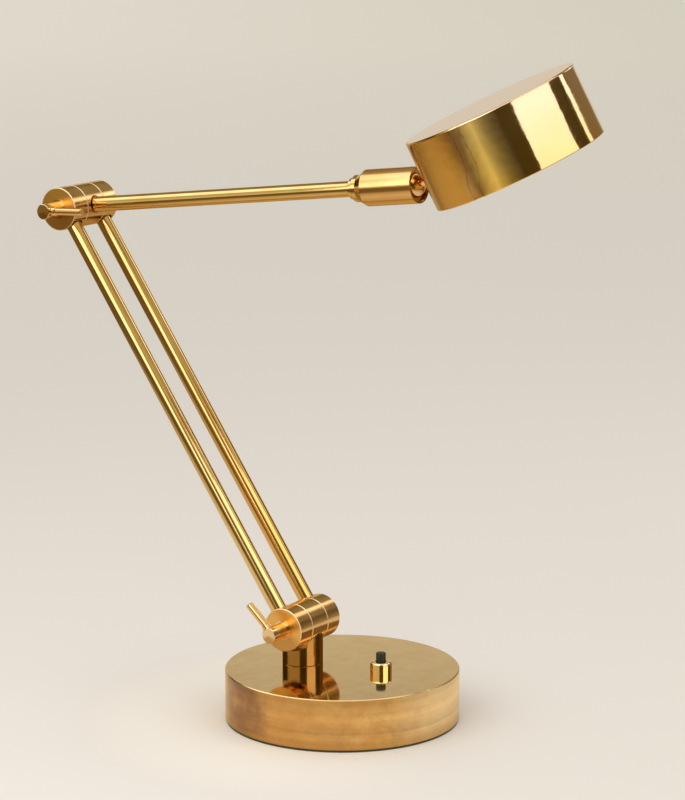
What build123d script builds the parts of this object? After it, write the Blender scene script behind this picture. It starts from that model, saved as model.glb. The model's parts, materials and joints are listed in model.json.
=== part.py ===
from build123d import *
import os
from math import atan2, cos, degrees, radians, sin

# Desk lamp with a round weighted base, a swivelling post, a twin-tube lower arm, a single-tube
# upper arm and a drum shade on a ball joint. Millimetres. The origin is the centre of the face
# that stands on the desk, +Z is up, and the arms swing in a plane parallel to XZ.

# Fits
running_clearance = 0.08
slip_clearance = 0.1
braze_gap = 0.05
edge_break = 0.4
hex_sides = 6

# Base: turned shell, cast weight, bottom cover and felt
base_diameter = 150.0
base_height = 33.6
shell_wall = 2.0
shell_top_thickness = 3.0
shell_edge_break = 0.6
felt_thickness = 1.5
felt_inset = 0.4
cover_thickness = 2.0
weight_headroom = 5.1
weight_clearance = 0.6
weight_edge_break = 1.5
channel_width = 15.0
pivot_pocket_diameter = 38.0
switch_pocket_diameter = 24.0
pillar_diameter = 10.0
pillar_wall_gap = 12.0
pillar_count = 4
pillar_start_share = 0.5
pillar_clearance = 0.5
screw_diameter = 4.0
screw_length = 12.0
screw_head_diameter = 7.6
screw_head_angle_deg = 90

# Base line: post, base centre and switch stand in one line, and the arms are turned from it
swivel_turn_deg = 8.6
post_offset = 28.0
switch_offset = 27.0

# Cord inlet at the rear end of the base line
inlet_height = 13.0
inlet_bore_diameter = 6.6
inlet_barrel_diameter = 10.0
inlet_barrel_length = 9.0
inlet_flange_diameter = 14.0
inlet_flange_thickness = 2.4
inlet_flange_fillet = 1.0

# Push switch
switch_bush_diameter = 14.0
switch_bush_height = 6.7
switch_bush_fillet = 1.4
switch_bush_lip = 1.6
switch_bush_hole_diameter = 7.4
switch_neck_diameter = 10.0
switch_body_diameter = 18.0
switch_lead_room = 11.1
switch_floor_thickness = 2.0
switch_roof_thickness = 1.5
button_diameter = 6.2
button_stand = 5.7
button_edge_fillet = 0.5
button_foot_diameter = 9.0
button_foot_thickness = 2.0
button_foot_clearance = 0.3

# Swivelling post
post_diameter = 26.2
hinge_rise = 26.0
saddle_clearance = 2.0
spigot_diameter = 16.0
spigot_overhang = 1.0
pivot_bush_wall = 2.0
pivot_bush_setback = 0.2
pivot_flange_diameter = 30.0
pivot_flange_thickness = 2.0
pivot_washer_diameter = 25.0
pivot_washer_thickness = 1.2
pivot_nut_across_flats = 24.0
pivot_nut_thickness = 5.0

# Hinge barrels: two discs of the lower arm either side of a knuckle
barrel_diameter = 28.0
disc_length = 13.7
knuckle_length = 17.5
seam_gap = 0.1
barrel_edge_break = 0.45
friction_washer_diameter = 26.0
friction_washer_bore = 21.6
friction_seat_depth = 0.6
wire_recess_diameter = 21.0
wire_recess_depth = 5.5
thread_depth = 10.0

# Clamp screws with a cross rod
clamp_shank_diameter = 8.0
clamp_shank_end_gap = 0.5
clamp_stem_diameter = 10.0
clamp_stem_length = 15.6
clamp_washer_diameter = 12.6
clamp_washer_thickness = 0.6
clamp_rod_diameter = 5.0
clamp_rod_inset = 5.0
lower_clamp_rod_reach = 24.7
upper_clamp_rod_reach = 28.2
clamp_rod_root = 1.5
clamp_collar_diameter = 6.2
clamp_collar_length = 3.5
clamp_collar_seat = 4.2
lower_clamp_angle_deg = 137.6
upper_clamp_angle_deg = 3.0

# Arms
arm_tube_diameter = 10.0
arm_tube_wall = 1.0
tube_setback = 6.5
spot_face_diameter = 12.0
spot_face_depth = 2.0
lower_arm_length = 310.9
lower_lean_deg = 34.3
upper_arm_length = 258.5
upper_rise_deg = 7.0

# Inner lead
lead_diameter = 6.4
lead_bore_diameter = 8.0
lead_bend_radius = 7.0
lead_floor_gap = 0.3
lead_end_gap = 0.4
stud_lead_diameter = 4.0

# Ball joint in its sleeve
ball_diameter = 17.0
ball_clearance = 0.08
sleeve_diameter = 23.0
sleeve_wall = 1.2
sleeve_length = 36.5
sleeve_mouth_break = 0.6
ring_setback = 2.0
ring_length = 4.5
ball_cover = 2.9
cup_length = 8.4
cup_ring_gap = 0.6
cup_clearance = 0.15
cup_bore_diameter = 9.0
disc_spring_count = 4
disc_spring_diameter = 19.0
disc_spring_bore = 10.0
disc_spring_thickness = 0.9
disc_spring_dish = 0.6
neck_cone_length = 5.5
neck_bead_length = 3.3
neck_small_diameter = 13.5
neck_large_diameter = 17.0
neck_socket_depth = 8.0

# Stud and shade
stud_rise_deg = 23.2
stud_reach = 18.2
stud_neck_diameter = 7.0
stud_bore_diameter = 5.0
stud_flange_diameter = 12.0
stud_flange_thickness = 1.8
stud_thread_diameter = 10.0
saddle_diameter = 14.0
saddle_thickness = 2.5
inner_saddle_diameter = 16.0
inner_saddle_thickness = 2.4
shade_nut_across_flats = 14.0
shade_nut_thickness = 4.0
shade_diameter = 110.0
shade_height = 44.5
shade_stud_height = 16.7
shade_wall = 1.2
shade_top_fillet = 1.2
shade_rim_fillet = 0.5
shade_twist_deg = 11.9

# Lampholder and bulb
holder_boss_diameter = 14.0
holder_boss_length = 6.0
holder_diameter = 24.0
holder_cone_length = 6.0
holder_body_length = 22.0
holder_bore_diameter = 15.6
holder_bore_depth = 19.0
bulb_cap_diameter = 13.8
bulb_cap_length = 19.6
bulb_seat_gap = 0.2
bulb_neck_diameter = 12.6
bulb_diameter = 26.0
bulb_neck_length = 5.0
bulb_length = 46.0

# Main points and directions
vertical = Vector(0, 0, 1)
hinge_axis = Vector(0, 1, 0)
base_line = Vector(cos(radians(swivel_turn_deg)), sin(radians(swivel_turn_deg)), 0)
post_foot = base_line * -post_offset
switch_foot = base_line * switch_offset
lower_hinge = post_foot + vertical * (base_height + hinge_rise)
lower_dir = Vector(-sin(radians(lower_lean_deg)), 0, cos(radians(lower_lean_deg)))
upper_hinge = lower_hinge + lower_dir * lower_arm_length
upper_dir = Vector(cos(radians(upper_rise_deg)), 0, sin(radians(upper_rise_deg)))
ball_centre = upper_hinge + upper_dir * upper_arm_length
stud_dir = Vector(cos(radians(stud_rise_deg)), 0, sin(radians(stud_rise_deg)))
shade_radius = shade_diameter / 2
shade_centre = ball_centre + stud_dir * (stud_reach + shade_radius)
shade_up = stud_dir.cross(hinge_axis).rotate(Axis((0, 0, 0), stud_dir), shade_twist_deg)
shade_plane = Plane(origin=shade_centre, x_dir=stud_dir, z_dir=shade_up)


def axial_plane(origin, direction):
    """A plane through an axis: its x is the radius and its y the distance along the axis."""
    return Plane(origin=origin, x_dir=hinge_axis, z_dir=hinge_axis.cross(direction))


def cross_plane(origin, direction):
    """A plane square to a direction in the plane of the arms."""
    return Plane(origin=origin, x_dir=hinge_axis, z_dir=direction)


def hinge_plane(hinge, offset):
    """A plane square to a hinge axis, a distance along it from the middle of the barrel."""
    return Plane(origin=hinge + hinge_axis * offset, x_dir=(1, 0, 0), z_dir=hinge_axis)


def turn_outline(plane, outline, mode=Mode.ADD):
    """Turns a closed outline of (radius, distance) points about the plane's y axis."""
    with BuildSketch(plane) as profile:
        with BuildLine():
            Polyline(*outline, close=True)
        make_face()
    revolve(profile.sketch, axis=Axis(plane.origin, plane.y_dir), mode=mode)


def rod_between(plane, radius, start, end, mode=Mode.ADD):
    """A plain round bar along the plane's y axis."""
    turn_outline(plane, [(0, start), (radius, start), (radius, end), (0, end)], mode)


os.makedirs("parts", exist_ok=True)

# Heights in the base
shell_bottom = felt_thickness
cover_top = felt_thickness + cover_thickness
plate_underside = base_height - shell_top_thickness
weight_height = plate_underside - cover_top - weight_headroom
switch_underside = cover_top + switch_lead_room
shell_inner_radius = base_diameter / 2 - shell_wall
pillar_circle_radius = shell_inner_radius - pillar_wall_gap - pillar_diameter / 2
pillar_start_deg = swivel_turn_deg + pillar_start_share * 360 / pillar_count
axis_post = axial_plane(post_foot, vertical)
axis_switch = axial_plane(switch_foot, vertical)
inlet_plane = Plane(origin=vertical * inlet_height, x_dir=vertical, z_dir=-base_line)
bush_outer_radius = spigot_diameter / 2 + running_clearance + pivot_bush_wall

# Felt pad under the base
with BuildPart() as felt_pad:
    with BuildSketch():
        Circle(base_diameter / 2 - felt_inset)
    extrude(amount=felt_thickness)
felt_pad.part.label = "felt_pad"
export_step(felt_pad.part, "parts/felt_pad.step")

# Turned shell: a cup with screw pillars inside and holes for the post, the switch and the cord
with BuildPart() as base_shell:
    with BuildSketch(Plane.XY.offset(shell_bottom)):
        Circle(base_diameter / 2)
    extrude(amount=base_height - shell_bottom)
    chamfer(base_shell.edges().group_by(Axis.Z)[-1], shell_edge_break)
    with BuildSketch(Plane.XY.offset(shell_bottom)):
        Circle(shell_inner_radius)
    extrude(amount=plate_underside - shell_bottom, mode=Mode.SUBTRACT)
    with BuildSketch(Plane.XY.offset(cover_top)):
        with PolarLocations(pillar_circle_radius, pillar_count, pillar_start_deg):
            Circle(pillar_diameter / 2)
    extrude(amount=plate_underside - cover_top)
    with BuildSketch(Plane.XY.offset(cover_top)):
        with PolarLocations(pillar_circle_radius, pillar_count, pillar_start_deg):
            Circle(screw_diameter / 2 + slip_clearance)
    extrude(amount=screw_length, mode=Mode.SUBTRACT)
    with BuildSketch(Plane.XY.offset(plate_underside)):
        with Locations(post_foot):
            Circle(bush_outer_radius + slip_clearance)
        with Locations(switch_foot):
            Circle(switch_neck_diameter / 2 + slip_clearance)
    extrude(amount=shell_top_thickness, mode=Mode.SUBTRACT)
    with BuildSketch(inlet_plane):
        Circle(inlet_barrel_diameter / 2 + slip_clearance)
    extrude(amount=base_diameter, mode=Mode.SUBTRACT)
base_shell.part.label = "base_shell"
export_step(base_shell.part, "parts/base_shell.step")

# Cast weight: a thick disc with pockets and a channel for the lead
weight_radius = shell_inner_radius - weight_clearance
with BuildPart() as base_weight:
    with BuildSketch(Plane.XY.offset(cover_top)):
        Circle(weight_radius)
    extrude(amount=weight_height)
    chamfer(base_weight.edges().group_by(Axis.Z)[-1], weight_edge_break)
    with BuildSketch(Plane.XY.offset(cover_top)):
        with Locations(post_foot):
            Circle(pivot_pocket_diameter / 2)
        with Locations(switch_foot):
            Circle(switch_pocket_diameter / 2)
        with PolarLocations(pillar_circle_radius, pillar_count, pillar_start_deg):
            Circle(pillar_diameter / 2 + pillar_clearance)
    extrude(amount=weight_height, mode=Mode.SUBTRACT)
    channel_length = switch_offset + base_diameter / 2
    with BuildSketch(Plane(origin=vertical * cover_top, x_dir=base_line, z_dir=vertical)):
        with Locations((switch_offset - channel_length / 2, 0)):
            Rectangle(channel_length, channel_width)
    extrude(amount=weight_height, mode=Mode.SUBTRACT)
base_weight.part.label = "base_weight"
export_step(base_weight.part, "parts/base_weight.step")

# Bottom cover, flush with the rim of the shell
screw_head_radius = screw_head_diameter / 2
screw_taper = screw_head_radius - screw_diameter / 2
with BuildPart() as base_cover:
    with BuildSketch(Plane.XY.offset(shell_bottom)):
        Circle(shell_inner_radius - slip_clearance)
    extrude(amount=cover_thickness)
    with PolarLocations(pillar_circle_radius, pillar_count, pillar_start_deg):
        with Locations(Location((0, 0, shell_bottom), (180, 0, 0))):
            CounterSinkHole(
                screw_diameter / 2 + slip_clearance,
                screw_head_radius + slip_clearance,
                cover_thickness,
                counter_sink_angle=screw_head_angle_deg,
            )
base_cover.part.label = "base_cover"
export_step(base_cover.part, "parts/base_cover.step")

# Countersunk screws that hold the cover to the pillars
with BuildPart() as cover_screws:
    with PolarLocations(pillar_circle_radius, pillar_count, pillar_start_deg):
        with Locations((0, 0, shell_bottom)):
            Cone(
                screw_head_radius,
                screw_diameter / 2,
                screw_taper,
                align=(Align.CENTER, Align.CENTER, Align.MIN),
            )
            Cylinder(
                screw_diameter / 2,
                screw_length,
                align=(Align.CENTER, Align.CENTER, Align.MIN),
            )
cover_screws.part.label = "cover_screws"
export_step(cover_screws.part, "parts/cover_screws.step")

# Bush that lines the cord hole, its flange bedded on the round wall of the shell
flange_outer = base_diameter / 2 + inlet_flange_thickness
with BuildPart() as cord_inlet:
    with BuildSketch(inlet_plane.offset(shell_inner_radius)):
        Circle(inlet_flange_diameter / 2)
    extrude(amount=flange_outer - shell_inner_radius)
    rim_edges = cord_inlet.edges().filter_by(GeomType.CIRCLE)
    fillet(rim_edges.sort_by(Axis(inlet_plane.origin, -base_line))[-1], inlet_flange_fillet)
    with BuildSketch():
        Circle(base_diameter / 2)
    extrude(amount=base_height, mode=Mode.SUBTRACT)
    with BuildSketch(inlet_plane.offset(base_diameter / 2 - inlet_barrel_length)):
        Circle(inlet_barrel_diameter / 2)
    extrude(amount=inlet_barrel_length)
    with BuildSketch(inlet_plane):
        Circle(inlet_bore_diameter / 2)
    extrude(amount=base_diameter, mode=Mode.SUBTRACT)
cord_inlet.part.label = "cord_inlet"
export_step(cord_inlet.part, "parts/cord_inlet.step")

# Push switch below the plate, with a threaded neck through it
neck_top = base_height + switch_bush_height - switch_bush_lip
switch_floor = switch_underside + switch_floor_thickness
switch_roof = plate_underside - switch_roof_thickness
body_radius = switch_body_diameter / 2
neck_radius = switch_neck_diameter / 2
chamber_radius = button_foot_diameter / 2 + button_foot_clearance
guide_radius = button_diameter / 2 + running_clearance
with BuildPart() as switch_body:
    rod_between(axis_switch, body_radius, switch_underside, plate_underside)
    chamfer(switch_body.edges().group_by(Axis.Z)[0], edge_break)
    rod_between(axis_switch, neck_radius, plate_underside, neck_top)
    rod_between(axis_switch, guide_radius, switch_roof, neck_top, Mode.SUBTRACT)
    rod_between(axis_switch, chamber_radius, switch_floor, switch_roof, Mode.SUBTRACT)
switch_body.part.label = "switch_body"
export_step(switch_body.part, "parts/switch_body.step")

# Brass bush nut that clamps the switch to the plate from above
bush_top = base_height + switch_bush_height
with BuildPart() as switch_bush:
    rod_between(axis_switch, switch_bush_diameter / 2, base_height, bush_top)
    fillet(switch_bush.edges().group_by(Axis.Z)[-1], switch_bush_fillet)
    rod_between(axis_switch, neck_radius + slip_clearance, base_height, neck_top, Mode.SUBTRACT)
    rod_between(axis_switch, switch_bush_hole_diameter / 2, neck_top, bush_top, Mode.SUBTRACT)
switch_bush.part.label = "switch_bush"
export_step(switch_bush.part, "parts/switch_bush.step")

# Plunger of the switch, kept in by its foot
button_top = bush_top + button_stand
with BuildPart() as switch_button:
    rod_between(axis_switch, button_diameter / 2, switch_roof, button_top)
    fillet(switch_button.edges().group_by(Axis.Z)[-1], button_edge_fillet)
    rod_between(axis_switch, button_foot_diameter / 2, switch_roof - button_foot_thickness, switch_roof)
switch_button.part.label = "switch_button"
export_step(switch_button.part, "parts/switch_button.step")

# Flanged bush in the plate, in which the post turns
spigot_radius = spigot_diameter / 2
flange_underside = plate_underside - pivot_flange_thickness
with BuildPart() as pivot_bush:
    rod_between(axis_post, pivot_flange_diameter / 2, flange_underside, plate_underside)
    rod_between(axis_post, bush_outer_radius, plate_underside, base_height - pivot_bush_setback)
    rod_between(axis_post, spigot_radius + running_clearance, flange_underside, base_height, Mode.SUBTRACT)
pivot_bush.part.label = "pivot_bush"
export_step(pivot_bush.part, "parts/pivot_bush.step")

# Friction washer and nut that hold the post down
washer_underside = flange_underside - pivot_washer_thickness
with BuildPart() as pivot_washer:
    rod_between(axis_post, pivot_washer_diameter / 2, washer_underside, flange_underside)
    rod_between(axis_post, spigot_radius + slip_clearance, washer_underside, flange_underside, Mode.SUBTRACT)
pivot_washer.part.label = "pivot_washer"
export_step(pivot_washer.part, "parts/pivot_washer.step")

nut_underside = washer_underside - pivot_nut_thickness
with BuildPart() as pivot_nut:
    with BuildSketch(Plane(origin=post_foot + vertical * nut_underside)):
        RegularPolygon(pivot_nut_across_flats / 2, hex_sides, major_radius=False)
        Circle(spigot_radius + slip_clearance, mode=Mode.SUBTRACT)
    extrude(amount=pivot_nut_thickness)
    chamfer(pivot_nut.edges().filter_by(GeomType.CIRCLE), edge_break / 2)
pivot_nut.part.label = "pivot_nut"
export_step(pivot_nut.part, "parts/pivot_nut.step")

# Post: a turned column scooped at the top for the discs, with a saddle for its knuckle
barrel_radius = barrel_diameter / 2
knuckle_face = knuckle_length / 2
disc_inner = knuckle_face + seam_gap
disc_outer = disc_inner + disc_length
spigot_end = nut_underside - spigot_overhang
hinge_height = base_height + hinge_rise
lead_bore_radius = lead_bore_diameter / 2
with BuildPart() as post:
    rod_between(axis_post, post_diameter / 2, base_height, hinge_height)
    chamfer(post.edges().group_by(Axis.Z)[0], edge_break)
    rod_between(axis_post, spigot_radius, spigot_end, base_height)
    with BuildSketch(hinge_plane(lower_hinge, 0)):
        Circle(barrel_radius + braze_gap)
    extrude(amount=post_diameter, both=True, mode=Mode.SUBTRACT)
    for side in (-1, 1):
        with BuildSketch(hinge_plane(lower_hinge, side * knuckle_face)):
            Circle(barrel_radius + saddle_clearance)
        extrude(amount=side * post_diameter, mode=Mode.SUBTRACT)
    rod_between(axis_post, lead_bore_radius, spigot_end, hinge_height, Mode.SUBTRACT)
post.part.label = "post"
export_step(post.part, "parts/post.step")


def cut_round(plane, radius, amount):
    """A round hole from a plane, into the piece under way."""
    with BuildSketch(plane) as opening:
        Circle(radius)
    extrude(opening.sketch, amount=amount, mode=Mode.SUBTRACT)


def cut_tube_socket(hinge, offset, direction):
    """The socket and spot face in which a tube stands on a barrel."""
    middle = hinge + hinge_axis * offset
    cut_round(
        cross_plane(middle + direction * tube_setback, direction),
        arm_tube_diameter / 2 + slip_clearance,
        barrel_radius,
    )
    cut_round(
        cross_plane(middle + direction * (barrel_radius - spot_face_depth), direction),
        spot_face_diameter / 2,
        barrel_radius,
    )


pin_bore_radius = clamp_shank_diameter / 2 + running_clearance
seat_radius = friction_washer_diameter / 2 + slip_clearance


def knuckle_blank(hinge):
    """The middle of a hinge barrel: bore, seats for the friction washers and room for the lead."""
    with BuildPart() as blank:
        with BuildSketch(hinge_plane(hinge, -knuckle_face)):
            Circle(barrel_radius)
        extrude(amount=knuckle_length)
        chamfer(blank.edges(), barrel_edge_break)
        cut_round(hinge_plane(hinge, -knuckle_face), pin_bore_radius, knuckle_length)
        cut_round(hinge_plane(hinge, -knuckle_face), seat_radius, friction_seat_depth)
        cut_round(hinge_plane(hinge, knuckle_face), seat_radius, -friction_seat_depth)
        cut_round(hinge_plane(hinge, -knuckle_face), wire_recess_diameter / 2, wire_recess_depth)
    return blank


# Knuckle brazed into the saddle of the post, drilled from below for the lead
with BuildPart() as post_knuckle:
    add(knuckle_blank(lower_hinge).part)
    cut_round(
        cross_plane(lower_hinge - vertical * tube_setback, -vertical),
        lead_bore_radius,
        barrel_radius,
    )
post_knuckle.part.label = "post_knuckle"
export_step(post_knuckle.part, "parts/post_knuckle.step")

# Knuckle of the upper arm, with the socket of its tube
with BuildPart() as upper_knuckle:
    add(knuckle_blank(upper_hinge).part)
    cut_tube_socket(upper_hinge, 0, upper_dir)
upper_knuckle.part.label = "upper_knuckle"
export_step(upper_knuckle.part, "parts/upper_knuckle.step")

# Discs of the lower arm: the front ones are bored through for the clamp screw and hollowed for
# the lead, the rear ones are tapped from inside and plain on their outer face
tube_offset = disc_inner + disc_length / 2
hinges = {"lower": (lower_hinge, lower_dir), "upper": (upper_hinge, -lower_dir)}
for level, (hinge, tube_dir) in hinges.items():
    for place, side in (("front", -1), ("rear", 1)):
        with BuildPart() as disc:
            with BuildSketch(hinge_plane(hinge, side * disc_inner)):
                Circle(barrel_radius)
            extrude(amount=side * disc_length)
            chamfer(disc.edges(), barrel_edge_break)
            inner_face = hinge_plane(hinge, side * disc_inner)
            bore_depth = disc_length if place == "front" else thread_depth
            cut_round(inner_face, pin_bore_radius, side * bore_depth)
            cut_round(inner_face, seat_radius, side * friction_seat_depth)
            if place == "front":
                cut_round(inner_face, wire_recess_diameter / 2, side * wire_recess_depth)
            cut_tube_socket(hinge, side * tube_offset, tube_dir)
        disc.part.label = f"{level}_{place}_disc"
        export_step(disc.part, f"parts/{level}_{place}_disc.step")

# Friction washers in the seams of each barrel
friction_washer_thickness = seam_gap + 2 * friction_seat_depth
for level, (hinge, _) in hinges.items():
    with BuildPart() as friction_washers:
        for side in (-1, 1):
            with BuildSketch(hinge_plane(hinge, side * (knuckle_face - friction_seat_depth))):
                Circle(friction_washer_diameter / 2)
                Circle(friction_washer_bore / 2, mode=Mode.SUBTRACT)
            extrude(amount=side * friction_washer_thickness)
    friction_washers.part.label = f"{level}_friction_washers"
    export_step(friction_washers.part, f"parts/{level}_friction_washers.step")

# Twin tubes of the lower arm
tube_outer_radius = arm_tube_diameter / 2
tube_inner_radius = tube_outer_radius - arm_tube_wall
lower_tube_length = lower_arm_length - 2 * tube_setback
for place, side in (("front", -1), ("rear", 1)):
    with BuildPart() as arm_tube:
        tube_foot = lower_hinge + hinge_axis * (side * tube_offset) + lower_dir * tube_setback
        with BuildSketch(cross_plane(tube_foot, lower_dir)):
            Circle(tube_outer_radius)
            Circle(tube_inner_radius, mode=Mode.SUBTRACT)
        extrude(amount=lower_tube_length)
    arm_tube.part.label = f"{place}_arm_tube"
    export_step(arm_tube.part, f"parts/{place}_arm_tube.step")

# Clamp screws: a stem with a long shank that is the hinge pin, a washer and a cross rod
stem_foot = disc_outer + clamp_washer_thickness
stem_end = stem_foot + clamp_stem_length
shank_end = disc_inner + thread_depth - clamp_shank_end_gap
rod_offset = stem_end - clamp_rod_inset
clamps = {
    "lower": (lower_hinge, lower_clamp_angle_deg, lower_clamp_rod_reach),
    "upper": (upper_hinge, upper_clamp_angle_deg, upper_clamp_rod_reach),
}
for level, (hinge, angle_deg, rod_reach) in clamps.items():
    rod_dir = Vector(cos(radians(angle_deg)), 0, sin(radians(angle_deg)))
    rod_axis = axial_plane(hinge - hinge_axis * rod_offset, rod_dir)
    rod_seat = cross_plane(hinge - hinge_axis * rod_offset + rod_dir * clamp_rod_root, rod_dir)
    collar_seat = cross_plane(hinge - hinge_axis * rod_offset + rod_dir * clamp_collar_seat, rod_dir)
    with BuildPart() as clamp_screw:
        with BuildSketch(hinge_plane(hinge, -stem_end)):
            Circle(clamp_stem_diameter / 2)
        extrude(amount=clamp_stem_length)
        chamfer(clamp_screw.edges().group_by(Axis.Y)[0], edge_break)
        with BuildSketch(hinge_plane(hinge, -stem_foot)):
            Circle(clamp_shank_diameter / 2)
        extrude(amount=stem_foot + shank_end)
        cut_round(rod_seat, clamp_rod_diameter / 2 + slip_clearance, clamp_stem_diameter)
        cut_round(collar_seat, clamp_collar_diameter / 2 + slip_clearance, clamp_stem_diameter)
    clamp_screw.part.label = f"{level}_clamp_screw"
    export_step(clamp_screw.part, f"parts/{level}_clamp_screw.step")

    with BuildPart() as clamp_washer:
        with BuildSketch(hinge_plane(hinge, -stem_foot)):
            Circle(clamp_washer_diameter / 2)
            Circle(clamp_shank_diameter / 2 + slip_clearance, mode=Mode.SUBTRACT)
        extrude(amount=clamp_washer_thickness)
    clamp_washer.part.label = f"{level}_clamp_washer"
    export_step(clamp_washer.part, f"parts/{level}_clamp_washer.step")

    rod_radius = clamp_rod_diameter / 2
    collar_radius = clamp_collar_diameter / 2
    collar_end = clamp_collar_seat + clamp_collar_length
    with BuildPart() as clamp_rod:
        turn_outline(
            rod_axis,
            [
                (0, clamp_rod_root),
                (rod_radius, clamp_rod_root),
                (rod_radius, clamp_collar_seat),
                (collar_radius, clamp_collar_seat),
                (collar_radius, collar_end - edge_break),
                (collar_radius - edge_break, collar_end),
                (rod_radius, collar_end),
                (rod_radius, rod_reach - edge_break),
                (rod_radius - edge_break, rod_reach),
                (0, rod_reach),
            ],
        )
    clamp_rod.part.label = f"{level}_clamp_rod"
    export_step(clamp_rod.part, f"parts/{level}_clamp_rod.step")

# Distances along the upper arm, counted from the centre of the ball
ball_radius = ball_diameter / 2
mouth = ball_cover + ring_setback
sleeve_start = mouth - sleeve_length
cone_start = sleeve_start - neck_cone_length
large_bead_start = cone_start - neck_bead_length
neck_start = large_bead_start - neck_bead_length
upper_tube_end = neck_start + neck_socket_depth
sleeve_bore_radius = sleeve_diameter / 2 - sleeve_wall
seat_sphere_radius = ball_radius + ball_clearance
cup_front = ball_cover - ring_length - cup_ring_gap
cup_rear = cup_front - cup_length
spring_pitch = disc_spring_thickness + disc_spring_dish
spring_end = cup_rear - disc_spring_count * spring_pitch
axis_upper = axial_plane(ball_centre, upper_dir)

# Tube of the upper arm
with BuildPart() as upper_arm_tube:
    rod_between(axis_upper, tube_outer_radius, tube_setback - upper_arm_length, upper_tube_end)
    rod_between(axis_upper, tube_inner_radius, tube_setback - upper_arm_length, upper_tube_end, Mode.SUBTRACT)
upper_arm_tube.part.label = "upper_arm_tube"
export_step(upper_arm_tube.part, "parts/upper_arm_tube.step")

# Neck: two beads and a cone on the tube, screwed into the sleeve
small_bead_radius = neck_small_diameter / 2
large_bead_radius = neck_large_diameter / 2
neck_thread_radius = sleeve_bore_radius - slip_clearance
with BuildPart() as neck_collar:
    turn_outline(
        axis_upper,
        [
            (tube_outer_radius + slip_clearance, neck_start),
            (small_bead_radius - edge_break, neck_start),
            (small_bead_radius, neck_start + edge_break),
            (small_bead_radius, large_bead_start),
            (large_bead_radius - edge_break, large_bead_start),
            (large_bead_radius, large_bead_start + edge_break),
            (large_bead_radius, cone_start),
            (sleeve_diameter / 2, sleeve_start),
            (neck_thread_radius, sleeve_start),
            (neck_thread_radius, spring_end),
            (lead_bore_radius, spring_end),
            (lead_bore_radius, upper_tube_end),
            (tube_outer_radius + slip_clearance, upper_tube_end),
        ],
    )
neck_collar.part.label = "neck_collar"
export_step(neck_collar.part, "parts/neck_collar.step")

# Sleeve round the ball
with BuildPart() as ball_sleeve:
    turn_outline(
        axis_upper,
        [
            (sleeve_bore_radius, sleeve_start),
            (sleeve_diameter / 2, sleeve_start),
            (sleeve_diameter / 2, mouth),
            (sleeve_bore_radius + sleeve_mouth_break, mouth),
            (sleeve_bore_radius, mouth - sleeve_mouth_break),
        ],
    )
ball_sleeve.part.label = "ball_sleeve"
export_step(ball_sleeve.part, "parts/ball_sleeve.step")

# Ring that keeps the ball in
with BuildPart() as retaining_ring:
    rod_between(axis_upper, sleeve_bore_radius - slip_clearance, ball_cover - ring_length, ball_cover)
    with Locations(ball_centre):
        Sphere(seat_sphere_radius, mode=Mode.SUBTRACT)
retaining_ring.part.label = "retaining_ring"
export_step(retaining_ring.part, "parts/retaining_ring.step")

# Friction cup behind the ball
with BuildPart() as friction_cup:
    rod_between(axis_upper, sleeve_bore_radius - cup_clearance, cup_rear, cup_front)
    with Locations(ball_centre):
        Sphere(seat_sphere_radius, mode=Mode.SUBTRACT)
    rod_between(axis_upper, cup_bore_diameter / 2, cup_rear, cup_front, Mode.SUBTRACT)
friction_cup.part.label = "friction_cup"
export_step(friction_cup.part, "parts/friction_cup.step")

# Stack of dished spring washers that presses the cup on the ball, dished to and fro
with BuildPart() as disc_springs:
    for count in range(disc_spring_count):
        low = spring_end + count * spring_pitch
        high = low + disc_spring_dish
        rim, eye = (low, high) if count % 2 else (high, low)
        turn_outline(
            axis_upper,
            [
                (disc_spring_bore / 2, eye),
                (disc_spring_diameter / 2, rim),
                (disc_spring_diameter / 2, rim + disc_spring_thickness),
                (disc_spring_bore / 2, eye + disc_spring_thickness),
            ],
        )
disc_springs.part.label = "disc_springs"
export_step(disc_springs.part, "parts/disc_springs.step")

# Distances along the stud, counted from the centre of the ball
flange_start = stud_reach - saddle_thickness - stud_flange_thickness
saddle_start = stud_reach - saddle_thickness
wall_inside = stud_reach + shade_wall
nut_start = wall_inside + inner_saddle_thickness
holder_start = nut_start + shade_nut_thickness
stud_end = holder_start + holder_boss_length - lead_end_gap
thread_radius = stud_thread_diameter / 2
thread_hole_radius = thread_radius + slip_clearance
axis_stud = axial_plane(ball_centre, stud_dir)

# Ball and hollow stud, turned in one piece
with BuildPart() as ball_stud:
    with Locations(ball_centre):
        Sphere(ball_radius)
    rod_between(axis_stud, stud_neck_diameter / 2, 0, flange_start)
    rod_between(axis_stud, stud_flange_diameter / 2, flange_start, saddle_start)
    rod_between(axis_stud, thread_radius, saddle_start, stud_end)
    rod_between(axis_stud, stud_bore_diameter / 2, -ball_diameter, stud_end, Mode.SUBTRACT)
ball_stud.part.label = "ball_stud"
export_step(ball_stud.part, "parts/ball_stud.step")

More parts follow.
